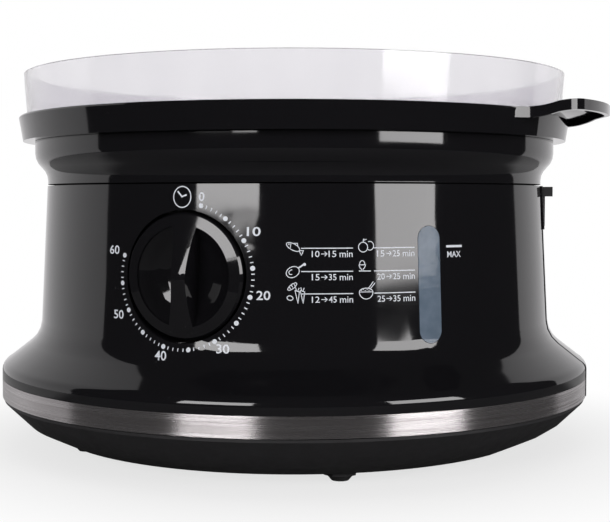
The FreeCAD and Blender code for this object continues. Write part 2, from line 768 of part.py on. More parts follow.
# The tray is a ring trough round a steam chimney, with a rim that carries the bowl.
def tray_ring():
    side_r, side_z = TROUGH_SIDE
    floor = TRAY_FLOOR + TROUGH_WALL
    chimney_out = CHIMNEY_R + 2.2
    return turned([
        (CHIMNEY_R, TRAY_FLOOR), (TROUGH_R, TRAY_FLOOR), (side_r, side_z), (side_r, TRAY_SEAT),
        (TRAY_R - 1.6, TRAY_SEAT), (TRAY_R, TRAY_TOP - 0.7), (TRAY_R - 0.6, TRAY_TOP), (TRAY_INNER_R,
                                                                                        TRAY_TOP),
        (TRAY_INNER_R, TRAY_LEDGE), (side_r - TROUGH_WALL, TRAY_LEDGE), (TROUGH_R - 2.3, floor),
        (chimney_out, floor), (chimney_out, CHIMNEY_TOP), (CHIMNEY_R, CHIMNEY_TOP),
    ])


def ear_plan(inset):
    root_r = TRAY_R - 1.4
    tip = EAR_TIP_X - inset
    upper = [(112.6 - inset, 43.2 - inset), ((117.7 - 0.6 * inset, 35.9 - 0.8 * inset), (125.6,
                                                                                         30.2 - inset)),
             (132.9 - 0.4 * inset, 26.8 - inset), ((136.6 - 0.8 * inset, 23.5 - 0.8 * inset),
                                                   (138.1 - inset, 18.7))]
    lower = [(138.1 - inset, -18.7), ((136.6 - 0.8 * inset, 0.8 * inset - 23.5), (132.9 - 0.4 * inset,
                                                                                  inset - 26.8)),
             (125.6, inset - 30.2), ((117.7 - 0.6 * inset, 0.8 * inset - 35.9), (112.6 - inset,
                                                                                 inset - 43.2))]
    return upper + [((tip, 0), lower[0])] + lower[1:] + [((root_r, 0), upper[0])]


# The ear's section along X: it leaves the rim level, rises in an S and ends flat.
def ear_side(drop, depth):
    top = [(105, TRAY_TOP - drop), (119.5, TRAY_TOP - drop),
           ((125.5, TRAY_TOP - drop + 0.9), (130.0, TRAY_TOP - drop + 2.3)),
           ((134.5, TRAY_TOP + EAR_RISE - drop - 0.25), (EAR_TIP_X + 2, TRAY_TOP + EAR_RISE - drop))]
    base = [(EAR_TIP_X + 2, TRAY_TOP + EAR_RISE - drop - depth),
            ((134.5, TRAY_TOP + EAR_RISE - drop - depth - 0.25), (130.0, TRAY_TOP - drop - depth + 2.3)),
            ((125.5, TRAY_TOP - drop - depth + 0.9), (119.5, TRAY_TOP - drop - depth)),
            (105, TRAY_TOP - drop - depth)]
    face = outline(top + base, lambda x, z: Vector(x, -60, z))
    return face.extrude(Vector(0, 120, 0))


def make_ear():
    body = slab(ear_plan(0.0), 130, 150).common(ear_side(0.0, EAR_SKIRT))
    hollow = slab(ear_plan(2.0), 130, 150).common(ear_side(2.0, 8.0))
    return body.cut(hollow)


def make_drip_tray():
    ear = make_ear()
    return joined([tray_ring(), ear, at_azimuth(ear, 180)])


def make_steam_bowl():
    foot_in = BOWL_FOOT_R - BOWL_WALL
    return turned([
        (foot_in, BOWL_LOW), (BOWL_FOOT_R, BOWL_LOW), (BOWL_RIM_R, BOWL_TOP), (BOWL_RIM_R - BOWL_WALL,
                                                                               BOWL_TOP),
        (foot_in + 0.4, BOWL_LEDGE_Z + BOWL_WALL), (BOWL_LEDGE_R, BOWL_LEDGE_Z + BOWL_WALL),
        (BOWL_LEDGE_R, BOWL_LEDGE_Z), (foot_in, BOWL_LEDGE_Z),
    ])


# The grid has rings of slots that narrow towards its middle, and ribs below.
def make_bowl_grid():
    low = BOWL_LEDGE_Z + BOWL_WALL + GAP
    high = low + GRID_THICK
    disc = turned([(0, low), (GRID_R, low), (GRID_R, high), (0, high)])
    holes = []
    for count, near, far in GRID_RINGS:
        for k in range(count):
            half_near = SLOT_SHARE * math.pi * near / count / 2
            half_far = SLOT_SHARE * math.pi * far / count / 2
            slot = [(near, -half_near), (far, -half_far), (far, half_far), (near, half_near)]
            holes.append(at_azimuth(slab(slot, low - CUT, high + CUT), 360.0 * (k + 0.5) / count))
    rib = slab(box_points(RIB_LONG, RIB_THICK / 2), low - RIB_DEEP, low + 0.2)
    ribs = [at_azimuth(rib, azimuth) for azimuth in (30.0, 90.0, 150.0)]
    return disc.cut(group(holes)).multiFuse(ribs).removeSplitter()


def make_parts():
    parts = {
        "front_shell": make_front_shell(),
        "rear_cover": make_rear_cover(),
        "lower_casing": make_lower_casing(),
        "trim_band": make_trim_band(),
        "water_tank": make_water_tank(),
        "base_screws": make_base_screws(),
        "water_inlet": make_water_inlet(),
        "gauge_window": make_gauge_window(),
        "gauge_gasket": make_gauge_gasket(),
        "heater_plate": make_heater_plate(),
        "heater_seal": make_heater_seal(),
        "heater_element": make_heater_element(),
        "heater_clamp": make_heater_clamp(),
        "clamp_screws": make_clamp_screws(),
        "thermostat": make_thermostat(),
        "thermal_fuse": make_thermal_fuse(),
        "timer_case": make_timer_case(),
        "timer_bell": make_timer_bell(),
        "timer_tabs": make_timer_tabs(),
        "timer_screws": make_timer_screws(),
        "timer_shaft": make_timer_shaft(),
        "knob": make_knob(),
        "knob_clip": make_knob_clip(),
        "terminal_block": make_terminal_block(),
        "leads": make_leads(),
        "cord_gland": make_cord_gland(),
        "turbo_ring": make_turbo_ring(),
        "drip_tray": make_drip_tray(),
        "steam_bowl": make_steam_bowl(),
        "bowl_grid": make_bowl_grid(),
    }
    names = ("foot_rear_left", "foot_front_left", "foot_rear_right", "foot_front_right")
    for name, (x, y) in zip(names, sorted(foot_places(), key=lambda p: (p[0], -p[1]))):
        parts[name] = make_foot(x, y)
    return parts


os.makedirs("parts", exist_ok=True)
for node, shape in make_parts().items():
    shape.exportStep("parts/%s.step" % node)
    print(node, "solids", len(shape.Solids), "valid", shape.isValid(), "volume %.0f" % shape.Volume)
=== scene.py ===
import json
import math
import bmesh
import bpy
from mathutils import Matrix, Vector
from mathutils.bvhtree import BVHTree

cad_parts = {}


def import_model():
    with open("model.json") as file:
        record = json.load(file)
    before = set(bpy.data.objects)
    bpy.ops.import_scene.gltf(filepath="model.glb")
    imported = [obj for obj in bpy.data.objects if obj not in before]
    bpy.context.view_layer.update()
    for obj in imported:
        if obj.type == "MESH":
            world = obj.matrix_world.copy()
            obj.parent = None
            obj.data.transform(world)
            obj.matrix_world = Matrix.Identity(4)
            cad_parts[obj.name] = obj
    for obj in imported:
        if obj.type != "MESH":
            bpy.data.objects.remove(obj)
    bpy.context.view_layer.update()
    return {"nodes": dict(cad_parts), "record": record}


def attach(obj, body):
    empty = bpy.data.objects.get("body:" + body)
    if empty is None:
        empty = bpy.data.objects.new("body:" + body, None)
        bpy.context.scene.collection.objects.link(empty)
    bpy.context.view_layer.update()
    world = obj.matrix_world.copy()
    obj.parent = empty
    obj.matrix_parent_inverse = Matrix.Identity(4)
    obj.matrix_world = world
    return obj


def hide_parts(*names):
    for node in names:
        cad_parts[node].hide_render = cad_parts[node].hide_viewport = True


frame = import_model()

# Electric food steamer. Metres, with the front at -Y and azimuths counted in degrees from the
# front towards +X.
MM = 0.001

# View: degrees and metres, with the lens and its sensor in millimetres.
VIEW_AZIMUTH = 28.0
VIEW_YAW = 0.477
VIEW_PITCH = 2.821
VIEW_DISTANCE = 0.5629
VIEW_HEIGHT = 0.1067
LENS = 72.91
SENSOR = 36.0
CLIP_NEAR = 0.01
CLIP_FAR = 20

# Studio: its front lies WALL_MIDDLE degrees from the view's azimuth.
STUDIO_R = 1.2
WALL_MIDDLE = 13.0
STUDIO_FRONT = math.radians(VIEW_AZIMUTH + WALL_MIDDLE)

# White wall, as reflections show it, by the parts of a direction: its side edge, which leans
# above a height, its upper and lower edges, and how it fades upwards. Levels are dark and wall.
WALL_SIDE = (-0.232, -0.242)
WALL_LEAN = 0.24
WALL_LEAN_FROM = 0.10
WALL_TOP = (0.90, 0.87)
WALL_FOOT = (-0.30, -0.22)
WALL_FADE_SPAN = (0.15, 0.75)
WALL_FADE = (1.0, 0.72)
WALL_LEVELS = (0.03, 0.84)
WALL_TINT = (1, 0.985, 1, 1)
PLAIN_WHITE = (1, 1, 1, 1)

# Floor: a disc just under the feet. Reflections show it dark in front and pale beside and
# behind. To the eye it is white, and keeps some of the object's shadow near the middle.
FLOOR_R = 0.5
FLOOR_SIDES = 96
FLOOR_DROP = 0.0002
FLOOR_SHADE = 0.8
FLOOR_GLOSS_SPAN = (0.02, -0.05)
FLOOR_GLOSS = (0.16, 0.72)
FLOOR_WHITE_SPAN = (0.10, 0.22)
FLOOR_WHITE = (0.72, 1.0)

# Soft boxes: sides in degrees from the view, lower and upper edge in metres, and level.
SOFT_BOXES = {
    "box_left": (-41.0, -14.4, 0.200, 0.66, 9.0),
    "box_left_low": (-24.0, -14.4, 0.176, 0.194, 6.0),
    "box_right": (33.4, 61.0, 0.105, 0.62, 8.0),
}
BOX_TINT = (1.0, 0.985, 0.99)
TOP_SIZE = 1.2
TOP_HEIGHT = 1.3
TOP_ENERGY = 3.2

# Parts of a noise's range that a colour or a roughness follows.
NOISE_WHOLE = (0.0, 1.0)
NOISE_WIDE = (0.3, 0.7)
NOISE_NARROW = (0.35, 0.65)
NOISE_SPECKS = (0.80, 0.83)

# Tank: the height at which its polished collar starts, and the roughness and gloss below it.
COLLAR_FOOT = (0.11350, 0.11352)
DULL_ROUGH = 0.7
DULL_GLOSS = 0.05
POLISHED_GLOSS = 0.5

# Brushed steel: how far its streaks are drawn out round the body, and their shares.
FINE_STREAKS = (0.006, 0.006, 1.0)
BROAD_STREAKS = (0.02, 0.02, 1.0)
FINE_SHARE = 0.65
BROAD_SHARE = 0.35

# Heater plate: radians of its turning marks in a metre, and how much they show.
TURNING_MARKS = 9000.0
TURNED_SHARE = 0.15
TURNED_SPAN = (0.3, 0.8)

# Bowl: its flow marks run upwards.
BOWL_FLOW = (1, 1, 0.3)

# Smooth shading: points closer than MERGE are one, and edges bent further than CREASE stay sharp.
MERGE = 2e-6
CREASE = 33.0
AREA_WEIGHT = 100

# Print: how far it stands off the wall, and where the rays that lay it on the wall start.
PRINT_LIFT = 0.07 * MM
RAY_START = 0.2
STROKE_STEP = 1.5
ARC_SIDES = 26
LETTER_STEPS = 3
# Corners of a stroke: two runs that add up to less than FOLD turn back on each other, and the
# corner's point reaches at most POINT_MOST of half the stroke's width.
FOLD = 0.2
SLANT_LEAST = 0.4
POINT_MOST = 1.6

# Dial, in millimetres from the knob's axis and degrees from its top.
DIAL_AZIMUTH = 6.0
DIAL_Z = 78.3
SCALE_R = 27.3
SCALE_ZERO = 15.2
SCALE_STEP = 22.54
SCALE_STEPS = 12
TICKS = 5
DOT_R = 0.92
TICK_HALF = 0.6
TICK_WIDTH = 0.4
# Each number with its middle and its lean.
NUMBERS = (("0", 7.3, 29.7, 0.0), ("10", 27.2, 16.9, 0.0), ("20", 31.1, -6.5, 0.0),
           ("30", 16.8, -26.3, -0.1), ("40", -7.8, -29.6, -0.25), ("50", -28.8, -15.3, 0.0),
           ("60", -31.6, 9.4, 0.0))
NUMBER_HIGH = 3.4
NUMBER_WIDE = {1: 2.3, 2: 5.0}
NUMBER_BOLD = 0.014
CLOCK_X = -0.6
CLOCK_Z = 29.6
CLOCK_HALF_WIDE = 3.6
CLOCK_HALF_HIGH = 3.9
CLOCK_SIDES = 36
CLOCK_RIM = 0.42
CLOCK_HANDS = ((-2.5, 31.7), (-0.7, 29.7), (1.3, 30.4))

# Cooking chart: azimuths of its lines' ends and heights of its rows, with each row's times.
CHART_R = 111.3
CHART_MIDDLE = 39.0
CHART_ROWS = (89.1, 80.6, 72.4)
CHART_COLUMNS = (
    (29.2, 39.1, (("10", "15"), ("15", "35"), ("12", "45"))),
    (43.2, 51.75, (("15", "25"), ("20", "25"), ("25", "35"))),
)
SIGN_COLUMNS = (28.1, 41.7)
RULE = 0.36
PEN = 0.3
THICK_PEN = 0.6

# Times, from the end of their line: middles of the figures and the unit, and the arrow's ends.
TIME_DROP = 2.1
TIME_HIGH = 2.3
FIGURES = (13.9, 7.7)
FIGURES_WIDE = 2.9
FIGURES_BOLD = 0.006
UNIT = 2.6
UNIT_DROP = 0.05
UNIT_WIDE = 4.9
UNIT_BOLD = 0.004
ARROW_TAIL = 11.9
ARROW_BARB = 10.6
ARROW_TIP = 9.7
ARROW_HALF = 0.8

# Level mark: azimuths of the bar's ends and of its word's middle, and their heights.
MARK_ENDS = (59.1, 63.1)
MARK_MIDDLE = 61.0
MARK_Z = 89.2
MARK_WIDTH = 0.85
MARK_WORD_Z = 86.2
MARK_WORD_WIDE = 6.6
MARK_WORD_BOLD = 0.008

# Nodes whose round walls are shaded smoothly.
SMOOTH_NODES = (
    "front_shell", "rear_cover", "water_tank", "lower_casing", "knob", "drip_tray", "steam_bowl",
    "turbo_ring", "heater_plate", "timer_bell", "timer_case", "cord_gland", "foot_front_left",
    "foot_front_right", "foot_rear_left", "foot_rear_right",
)


def new_object(name, data):
    obj = bpy.data.objects.new(name, data)
    bpy.context.scene.collection.objects.link(obj)
    return obj


def camera():
    data = bpy.data.cameras.new("camera")
    data.lens = LENS
    data.sensor_width = SENSOR
    data.clip_start = CLIP_NEAR
    data.clip_end = CLIP_FAR
    obj = new_object("camera", data)
    turn = math.radians(VIEW_AZIMUTH)
    obj.location = (VIEW_DISTANCE * math.sin(turn), -VIEW_DISTANCE * math.cos(turn), VIEW_HEIGHT)
    obj.rotation_euler = (math.radians(90 - VIEW_PITCH), 0, math.radians(VIEW_AZIMUTH - VIEW_YAW))
    bpy.context.scene.camera = obj


# Short names for building shader nodes.
class Shader:
    def __init__(self, tree):
        self.tree = tree

    def node(self, kind, **values):
        made = self.tree.nodes.new(kind)
        for key, value in values.items():
            setattr(made, key, value)
        return made

    def link(self, source, target):
        self.tree.links.new(source, target)

    def math(self, operation, first, second=0.0):
        made = self.node("ShaderNodeMath", operation=operation)
        for socket, value in zip(made.inputs, (first, second)):
            if isinstance(value, (int, float)):
                socket.default_value = value
            else:
                self.link(value, socket)
        return made.outputs[0]

    def ramp(self, value, span, to=(0.0, 1.0), smooth=False):
        kind = "SMOOTHSTEP" if smooth else "LINEAR"
        made = self.node("ShaderNodeMapRange", interpolation_type=kind)
        self.link(value, made.inputs["Value"])
        for name, number in zip(("From Min", "From Max", "To Min", "To Max"), (*span, *to)):
            made.inputs[name].default_value = number
        return made.outputs[0]

    def blend(self, share, first, second):
        made = self.node("ShaderNodeMix", data_type="RGBA")
        self.link(share, made.inputs["Factor"])
        made.inputs["A"].default_value = (*first, 1)
        made.inputs["B"].default_value = (*second, 1)
        return made.outputs["Result"]

    def where(self, kind="Object"):
        return self.node("ShaderNodeTexCoord").outputs[kind]

    def split(self, vector):
        made = self.node("ShaderNodeSeparateXYZ")
        self.link(vector, made.inputs[0])
        return made.outputs

    # How far a place or a direction lies towards the studio's front.
    def ahead(self, vector):
        made = self.node("ShaderNodeVectorMath", operation="DOT_PRODUCT")
        made.inputs[1].default_value = (math.sin(STUDIO_FRONT), -math.cos(STUDIO_FRONT), 0)
        self.link(vector, made.inputs[0])
        return made.outputs["Value"]

    # Noise whose patches are about a size across, before they are drawn out.
    def noise(self, size, detail, stretch=(1, 1, 1)):
        places = self.node("ShaderNodeMapping")
        places.inputs["Scale"].default_value = stretch
        self.link(self.where(), places.inputs["Vector"])
        made = self.node("ShaderNodeTexNoise")
        made.inputs["Scale"].default_value = 1.0 / size
        made.inputs["Detail"].default_value = detail
        self.link(places.outputs[0], made.inputs["Vector"])
        return made.outputs["Fac"]

    # 1 for a ray from the eye, straight or through a clear part, and 0 for any other.
    def seen(self, path):
        outputs = path.outputs
        return self.math("MAXIMUM", outputs["Is Camera Ray"], outputs["Is Transmission Ray"])

    def output(self, kind, share, first, second):
        mix = self.node("ShaderNodeMixShader")
        for source, target in zip((share, first.outputs[0], second.outputs[0]), mix.inputs):
            self.link(source, target)
        self.link(mix.outputs[0], self.node(kind).inputs[0])


# A material of one principled shader, whose own sockets are given by name.
class Finish(Shader):
    def __init__(self, name, **sockets):
        self.material = bpy.data.materials.new("mat_" + name)
        self.material.use_nodes = True
        super().__init__(self.material.node_tree)
        self.sockets = self.tree.nodes["Principled BSDF"].inputs
        for key, value in sockets.items():
            self.sockets[key.replace("_", " ")].default_value = value

    def colour(self, source, first, second, span=NOISE_WIDE):
        self.link(self.blend(self.ramp(source, span), first, second), self.sockets["Base Color"])

    def rough(self, source, levels, span=NOISE_WIDE):
        self.link(self.ramp(source, span, levels), self.sockets["Roughness"])

    def relief(self, height, depth):
        made = self.node("ShaderNodeBump")
        made.inputs["Strength"].default_value = 1.0
        made.inputs["Distance"].default_value = depth
        self.link(height, made.inputs["Height"])
        self.link(made.outputs[0], self.sockets["Normal"])


# Polished black: faint flow marks, a few dust specks and slightly uneven gloss.
def gloss_black(name="gloss_black"):
    made = Finish(name, IOR=1.5)
    made.colour(made.noise(0.0009, 1.0), (0.0060, 0.0058, 0.0068), (0.05, 0.05, 0.05),
                NOISE_SPECKS)
    made.rough(made.noise(0.03, 3.0), (0.035, 0.075))
    made.relief(made.noise(0.035, 1.0), 0.00004)
    return made


# The tank's black is polished on the collar alone, and dull on the hidden parts under it.
def tank_black():
    made = gloss_black("tank_black")
    shown = made.ramp(made.split(made.where())[2], COLLAR_FOOT)
    rough = made.sockets["Roughness"]
    mix = made.node("ShaderNodeMix")
    made.link(shown, mix.inputs["Factor"])
    mix.inputs["A"].default_value = DULL_ROUGH
    made.link(rough.links[0].from_socket, mix.inputs["B"])
    made.link(mix.outputs["Result"], rough)
    gloss = made.ramp(shown, (0, 1), (DULL_GLOSS, POLISHED_GLOSS))
    made.link(gloss, made.sockets["Specular IOR Level"])
    return made


# Matt black with a spark-eroded grain.
def matte_black():
    made = Finish("matte_black", IOR=1.46)
    made.colour(made.noise(0.012, 3.0), (0.013, 0.0125, 0.0135), (0.019, 0.0185, 0.020),
                NOISE_WHOLE)
    made.rough(made.noise(0.004, 2.0), (0.46, 0.58))
    made.relief(made.noise(0.00045, 2.0), 0.00005)
    return made


# Steel brushed round the body: fine level streaks, blurred up and down.
def brushed_steel():
    made = Finish("brushed_steel", Metallic=1.0, Anisotropic=1.0, Anisotropic_Rotation=0.25)
    fine = made.noise(0.00022, 2.0, FINE_STREAKS)
    broad = made.noise(0.0016, 2.0, BROAD_STREAKS)
    both = made.math("ADD", made.math("MULTIPLY", fine, FINE_SHARE),
                     made.math("MULTIPLY", broad, BROAD_SHARE))
    made.colour(both, (0.46, 0.43, 0.43), (0.78, 0.75, 0.76))
    made.rough(both, (0.22, 0.30))
    round_z = made.node("ShaderNodeTangent", direction_type="RADIAL", axis="Z")
    made.link(round_z.outputs[0], made.sockets["Tangent"])
    made.relief(fine, 0.000012)
    return made


# Clear smoke-blue window.
def clear_plastic():
    made = Finish("clear_plastic", IOR=1.33, Transmission_Weight=0.35, Specular_IOR_Level=0.3)
    made.colour(made.noise(0.006, 3.0), (0.15, 0.20, 0.26), (0.20, 0.255, 0.33), NOISE_NARROW)
    made.rough(made.noise(0.003, 2.0), (0.05, 0.10))
    made.relief(made.noise(0.004, 1.0), 0.00004)
    return made


# Translucent food plastic with faint haze and upright flow marks.
def clear_bowl():
    made = Finish("clear_bowl", IOR=1.35, Transmission_Weight=0.92)
    made.colour(made.noise(0.03, 3.0, BOWL_FLOW), (0.80, 0.785, 0.82), (0.86, 0.845, 0.875))
    made.rough(made.noise(0.012, 3.0), (0.04, 0.12))
    made.relief(made.noise(0.02, 1.0), 0.00004)
    return made


# Pressed steel plate with turning marks round its middle.
def heater_steel():
    made = Finish("heater_steel", Metallic=1.0)
    x, y, _ = made.split(made.where())
    square = made.math("ADD", made.math("POWER", x, 2.0), made.math("POWER", y, 2.0))
    rings = made.math("MULTIPLY", made.math("SQRT", square), TURNING_MARKS)
    rings = made.math("SINE", rings)
    marks = made.math("ADD", made.math("MULTIPLY", rings, TURNED_SHARE), made.noise(0.01, 4.0))
    made.colour(marks, (0.55, 0.52, 0.48), (0.70, 0.69, 0.68), TURNED_SPAN)
    made.rough(marks, (0.22, 0.40), TURNED_SPAN)
    made.relief(rings, 0.00001)
    return made


# Silk-screened white, slightly blue.
def print_white():
    made = Finish("print_white", IOR=1.45)
    made.colour(made.noise(0.0005, 2.0), (0.62, 0.65, 0.70), (0.74, 0.77, 0.82))
    made.rough(made.noise(0.001, 2.0), (0.35, 0.5))
    return made


# Hidden materials with a fine grain: two colours, the grain's size and depth, and roughness.
GRAINED = {
    "seal_rubber": ((0.50, 0.48, 0.45), (0.58, 0.56, 0.53), 0.0006, 0.00003, (0.5, 0.65)),
    "foot_rubber": ((0.012, 0.012, 0.012), (0.022, 0.022, 0.022), 0.0005, 0.00005, (0.6, 0.75)),
    "cast_aluminium": ((0.50, 0.50, 0.50), (0.64, 0.64, 0.65), 0.0008, 0.00006, (0.35, 0.5)),
    "screw_steel": ((0.46, 0.46, 0.47), (0.58, 0.57, 0.55), 0.0004, 0.00001, (0.25, 0.4)),
    "brass_tabs": ((0.62, 0.46, 0.20), (0.76, 0.60, 0.30), 0.0004, 0.00001, (0.25, 0.4)),
    "dark_plastic": ((0.05, 0.05, 0.05), (0.08, 0.08, 0.08), 0.0005, 0.00004, (0.45, 0.6)),
    "white_plastic": ((0.68, 0.67, 0.62), (0.76, 0.75, 0.71), 0.0006, 0.00003, (0.4, 0.5)),
    "lead_cover": ((0.24, 0.09, 0.05), (0.34, 0.14, 0.08), 0.0007, 0.00003, (0.4, 0.55)),
}
GRAINED_METALS = ("cast_aluminium", "screw_steel", "brass_tabs")
COLOUR_GRAINS = 8
ROUGH_GRAINS = 3


def grained(name, first, second, grain, depth, levels):
    made = Finish(name, Metallic=1.0 if name in GRAINED_METALS else 0.0)
    made.colour(made.noise(grain * COLOUR_GRAINS, 3.0), first, second, NOISE_NARROW)
    made.rough(made.noise(grain * ROUGH_GRAINS, 2.0), levels)
    made.relief(made.noise(grain, 2.0), depth)
    return made


def materials():
    made = {
        "gloss_black": gloss_black(),
        "matte_black": matte_black(),
        "brushed_steel": brushed_steel(),
        "clear_plastic": clear_plastic(),
        "clear_bowl": clear_bowl(),
        "heater_steel": heater_steel(),
        "print_white": print_white(),
    }
    for name, values in GRAINED.items():
        made[name] = grained(name, *values)
    return {name: finish.material for name, finish in made.items()}


# A skin has its node's own shape, but its shading runs on over the small steps between the faces.
def skin(node, body):
    mesh = frame["nodes"][node].data.copy()
    custom = mesh.attributes.get("custom_normal")
    if custom is not None:
        mesh.attributes.remove(custom)
    work = bmesh.new()
    work.from_mesh(mesh)
    bmesh.ops.remove_doubles(work, verts=work.verts, dist=MERGE)
    for face in work.faces:
        face.smooth = True
    crease = math.radians(CREASE)
    for edge in work.edges:
        edge.smooth = len(edge.link_faces) == 2 and edge.calc_face_angle(0.0) < crease
    work.to_mesh(mesh)
    work.free()
    obj = new_object(node + "_skin", mesh)
    weigh = obj.modifiers.new("weigh", "WEIGHTED_NORMAL")
    weigh.keep_sharp = True
    weigh.mode = "FACE_AREA_WITH_ANGLE"
    weigh.weight = AREA_WEIGHT
    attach(obj, body)
    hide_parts(node)
    return obj


# Print lies on the wall of the body. Shapes are drawn flat, in millimetres, and laid on the wall.
class Wall:
    def __init__(self, node):
        mesh = frame["nodes"][node].data
        points = [v.co.copy() for v in mesh.vertices]
        self.tree = BVHTree.FromPolygons(points, [p.vertices[:] for p in mesh.polygons])

    def hit(self, origin, direction):
        place, normal, _, _ = self.tree.ray_cast(origin, direction)
        return place + normal * PRINT_LIFT

    def at_dial(self, u, w):
        turn = math.radians(DIAL_AZIMUTH)
        across = Vector((math.cos(turn), math.sin(turn), 0))
        out = Vector((math.sin(turn), -math.cos(turn), 0))
        start = across * u * MM + out * RAY_START + Vector((0, 0, (DIAL_Z + w) * MM))
        return self.hit(start, -out)

    def at_azimuth(self, azimuth, z):
        turn = math.radians(azimuth)
        out = Vector((math.sin(turn), -math.cos(turn), 0))
        return self.hit(out * RAY_START + Vector((0, 0, z * MM)), -out)

    # The chart is drawn flat, with x along the wall from the chart's middle.
    def at_chart(self, x, z):
        return self.at_azimuth(CHART_MIDDLE + math.degrees(x / CHART_R), z)


def chart_x(azimuth):
    return math.radians(azimuth - CHART_MIDDLE) * CHART_R


# A flat drawing: points and faces, from strokes, discs and letters.
class Drawing:
    def __init__(self):
        self.points = []
        self.faces = []

    def add(self, points, faces):
        start = len(self.points)
        self.points += points
        self.faces += [[start + i for i in face] for face in faces]

    def disc(self, x, y, r, sides=20):
        turns = [2 * math.pi * k / sides for k in range(sides)]
        self.add([(x + r * math.cos(t), y + r * math.sin(t)) for t in turns],
                 [list(range(sides))])

    def stroke(self, path, width, closed=False):
        path = [Vector(p) for p in path]
        if closed:
            path.append(path[0])
        dense = [path[0]]
        for a, b in zip(path, path[1:]):
            count = max(1, math.ceil((b - a).length / STROKE_STEP))
            dense += [a.lerp(b, k / count) for k in range(1, count + 1)]
        points = []
        last = len(dense) - 1
        for k, p in enumerate(dense):
            before = dense[k - 1] if k else (dense[last - 1] if closed else None)
            after = dense[k + 1] if k < last else (dense[1] if closed else None)
            run_in = (p - before).normalized() if before is not None else (after - p).normalized()
            run_out = (after - p).normalized() if after is not None else run_in
            along = run_in + run_out
            along = along.normalized() if along.length > FOLD else run_in
            side = Vector((-along.y, along.x))
            slant = max(SLANT_LEAST, side.dot(Vector((-run_in.y, run_in.x))))
            reach = min(POINT_MOST, 1.0 / slant) * width / 2
            points += [tuple(p + side * reach), tuple(p - side * reach)]
        self.add(points, [[2 * k, 2 * k + 1, 2 * k + 3, 2 * k + 2] for k in range(last)])

    def ring(self, x, y, rx, ry, width, tilt=0.0, start=0.0, sweep=360.0, sides=ARC_SIDES):
        c, s = math.cos(math.radians(tilt)), math.sin(math.radians(tilt))
        full = sweep == 360.0
        path = []
        for k in range(sides if full else sides + 1):
            t = math.radians(start + sweep * k / sides)
            px, py = rx * math.cos(t), ry * math.sin(t)
            path.append((x + px * c - py * s, y + px * s + py * c))
        self.stroke(path, width, closed=full)

    # Letters: placed by their middle, scaled to a height and to a width.
    def letters(self, words, x, y, high, wide, bold, lean=0.0):
        data = bpy.data.curves.new("letters", "FONT")
        data.body = words
        data.offset = bold
        data.resolution_u = LETTER_STEPS
        obj = new_object("letters", data)
        bpy.context.view_layer.update()
        depsgraph = bpy.context.evaluated_depsgraph_get()
        mesh = bpy.data.meshes.new_from_object(obj.evaluated_get(depsgraph))
        xs = [v.co.x for v in mesh.vertices]
        ys = [v.co.y for v in mesh.vertices]
        kx = wide / (max(xs) - min(xs))
        ky = high / (max(ys) - min(ys))
        mid_x, mid_y = (max(xs) + min(xs)) / 2, (max(ys) + min(ys)) / 2
        points = [(x + (px - mid_x) * kx + lean * (py - mid_y) * ky, y + (py - mid_y) * ky)
                  for px, py in zip(xs, ys)]
        self.add(points, [list(p.vertices) for p in mesh.polygons])
        bpy.data.objects.remove(obj)
        bpy.data.curves.remove(data)
        bpy.data.meshes.remove(mesh)

    def lay(self, name, place, white):
        mesh = bpy.data.meshes.new(name)
        mesh.from_pydata([place(*p) for p in self.points], [], self.faces)
        mesh.materials.append(white)
        mesh.validate()
        for p in mesh.polygons:
            p.use_smooth = True
        obj = new_object(name, mesh)
        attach(obj, "base")


# Minute scale: a dot each five minutes, ticks each minute, numbers each ten and a clock sign.
def dial_print(wall, white):
    scale = Drawing()
    for k in range(SCALE_STEPS + 1):
        turn = math.radians(SCALE_ZERO + SCALE_STEP * k)
        scale.disc(SCALE_R * math.sin(turn), SCALE_R * math.cos(turn), DOT_R)
        if k < SCALE_STEPS:
            for tick in range(1, TICKS):
                turn = math.radians(SCALE_ZERO + SCALE_STEP * (k + tick / TICKS))
                s, c = math.sin(turn), math.cos(turn)
                ends = (SCALE_R - TICK_HALF, SCALE_R + TICK_HALF)
                scale.stroke([(r * s, r * c) for r in ends], TICK_WIDTH)
    scale.lay("dial_scale_print", wall.at_dial, white)

    numbers = Drawing()
    for words, x, y, lean in NUMBERS:
        numbers.letters(words, x, y, NUMBER_HIGH, NUMBER_WIDE[len(words)], NUMBER_BOLD, lean)
    numbers.lay("dial_numbers_print", wall.at_dial, white)

    clock = Drawing()
    clock.ring(CLOCK_X, CLOCK_Z, CLOCK_HALF_WIDE, CLOCK_HALF_HIGH, CLOCK_RIM,
               sides=CLOCK_SIDES)
    clock.stroke(CLOCK_HANDS, THICK_PEN)
    clock.lay("dial_clock_print", wall.at_dial, white)


# The chart's signs, each drawn at its row's height about the line x of its column.
def fish(signs, x):
    signs.ring(x - 0.8, 89.6, 2.7, 1.15, PEN, tilt=-28)
    signs.stroke([(x + 1.4, 88.3), (x + 3.0, 88.2), (x + 2.2, 86.5), (x + 1.4, 88.3)], PEN)
    signs.stroke([(x - 0.6, 90.9), (x + 0.8, 90.9), (x + 0.9, 89.9)], PEN)
    signs.disc(x - 2.3, 90.6, 0.28, 10)
    signs.stroke([(x - 1.6, 90.9), (x - 1.8, 89.3)], PEN)


def poultry_leg(signs, x):
    signs.ring(x - 0.9, 80.4, 2.5, 1.9, PEN, tilt=28)
    signs.stroke([(x + 1.2, 81.9), (x + 3.0, 83.1)], THICK_PEN)
    signs.disc(x + 3.4, 83.2, 0.55, 12)
    signs.ring(x - 1.3, 80.4, 1.1, 0.8, PEN, tilt=28, start=60, sweep=200, sides=14)


